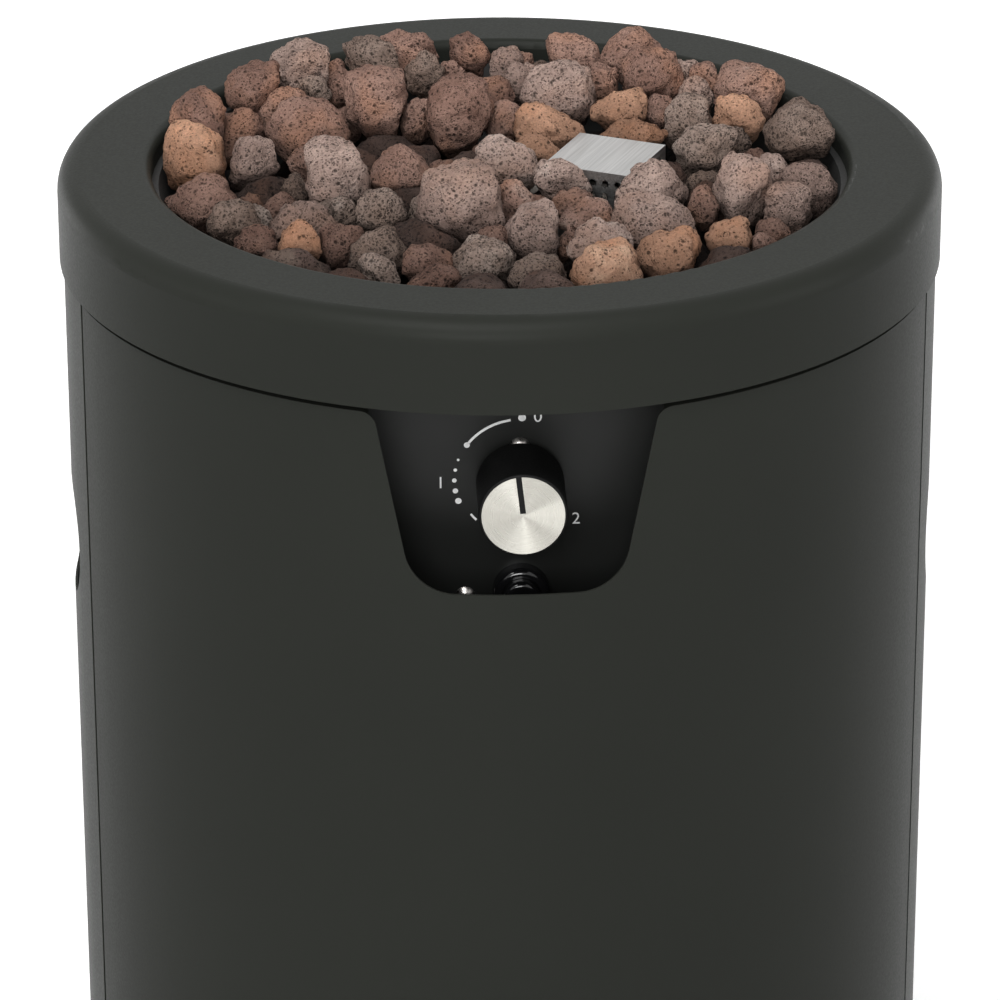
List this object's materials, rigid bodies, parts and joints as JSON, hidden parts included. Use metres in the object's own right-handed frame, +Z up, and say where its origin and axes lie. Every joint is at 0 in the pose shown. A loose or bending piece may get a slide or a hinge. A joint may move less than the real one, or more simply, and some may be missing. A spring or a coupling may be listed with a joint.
{
  "type": "column gas fire pit",
  "caption": "Round steel column fire pit with a lava-rock fire bowl, ring burner, pilot hood, push-and-turn gas knob, igniter button and a hinged door over the bottle space.",
  "frame": {"origin": "on the floor, on the column's axis, under the four feet", "axes": "+Z up; the front with the door and the controls looks along -Y; +X is to the right seen from the front"},
  "size_m": [0.4079, 0.408, 0.7333],
  "materials": {
    "charcoal": "satin powder coat",
    "black_enamel": "semi-gloss heat-proof paint",
    "zinc": "zinc plated",
    "chrome": "polished",
    "stainless": "brushed",
    "galvanised": "galvanised",
    "cast_alloy": "die cast",
    "pipe": "drawn",
    "brass": "turned",
    "copper": "drawn copper",
    "rubber": "matte",
    "nylon": "moulded",
    "black_plastic": "fine satin",
    "gloss_black": "gloss",
    "turned_aluminium": "spun",
    "ceramic": "unglazed",
    "silicone": "satin",
    "lava_brown": "porous",
    "lava_mauve": "porous",
    "lava_grey": "porous",
    "lava_tan": "porous"
  },
  "bodies": {
    "column": {"base_pan": "charcoal", "rear_shell": "charcoal", "top_ring": "charcoal", "bottle_ring": "charcoal", "fire_bowl": "black_enamel", "top_rail": "black_enamel", "control_panel": "black_enamel", "foot_screws": "zinc", "shell_screws": "zinc", "hinge_bracket": "zinc", "ring_studs": "zinc", "flange_nuts": "zinc", "post_screws": "zinc", "air_shutter": "zinc", "shield_rods": "zinc", "shield_nuts": "zinc", "panel_screws": "zinc", "valve_screws": "chrome", "ground_screw": "chrome", "burner_ring": "stainless", "burner_posts": "stainless", "pilot_hood": "stainless", "pilot_bracket": "stainless", "thermocouple": "stainless", "heat_shield": "galvanised", "gas_valve": "cast_alloy", "mixer_tube": "cast_alloy", "feed_pipe": "pipe", "orifice_fitting": "brass", "gland_nut": "brass", "outlet_nut": "brass", "inlet_fitting": "brass", "thermocouple_lead": "copper", "feet": "rubber", "hinge_bushes": "nylon", "magnet_catch": "black_plastic", "igniter_nut": "black_plastic", "igniter_body": "gloss_black", "electrode": "ceramic", "igniter_lead": "silicone", "rocks_brown": "lava_brown", "rocks_lower": "lava_brown", "rocks_mauve": "lava_mauve", "rocks_grey": "lava_grey", "rocks_tan": "lava_tan"},
    "door": {"front_door": "charcoal", "hinge_pins": "zinc", "strike_plate": "zinc"},
    "plunger": {"valve_plunger": "zinc"},
    "knob": {"valve_stem": "brass", "knob": "black_plastic", "knob_face": "turned_aluminium"},
    "button": {"igniter_button": "gloss_black"}
  },
  "joints": [
    {"name": "door_swing", "type": "hinge", "parent": "column", "child": "door", "pos_m": [0.17868, -0.06944, 0], "axis": [0, 0, 1], "range_deg": [0, 105]},
    {"name": "knob_push", "type": "slide", "parent": "column", "child": "plunger", "axis": [0, 1, 0], "range_m": [0, 0.0025], "stiffness_N_per_m": 1500},
    {"name": "knob_turn", "type": "hinge", "parent": "plunger", "child": "knob", "pos_m": [0.003, -0.148, 0.6165], "axis": [0, -1, 0], "range_deg": [0, 230]},
    {"name": "igniter_press", "type": "slide", "parent": "column", "child": "button", "axis": [0, 1, 0], "range_m": [0, 0.0045], "stiffness_N_per_m": 1200}
  ]
}
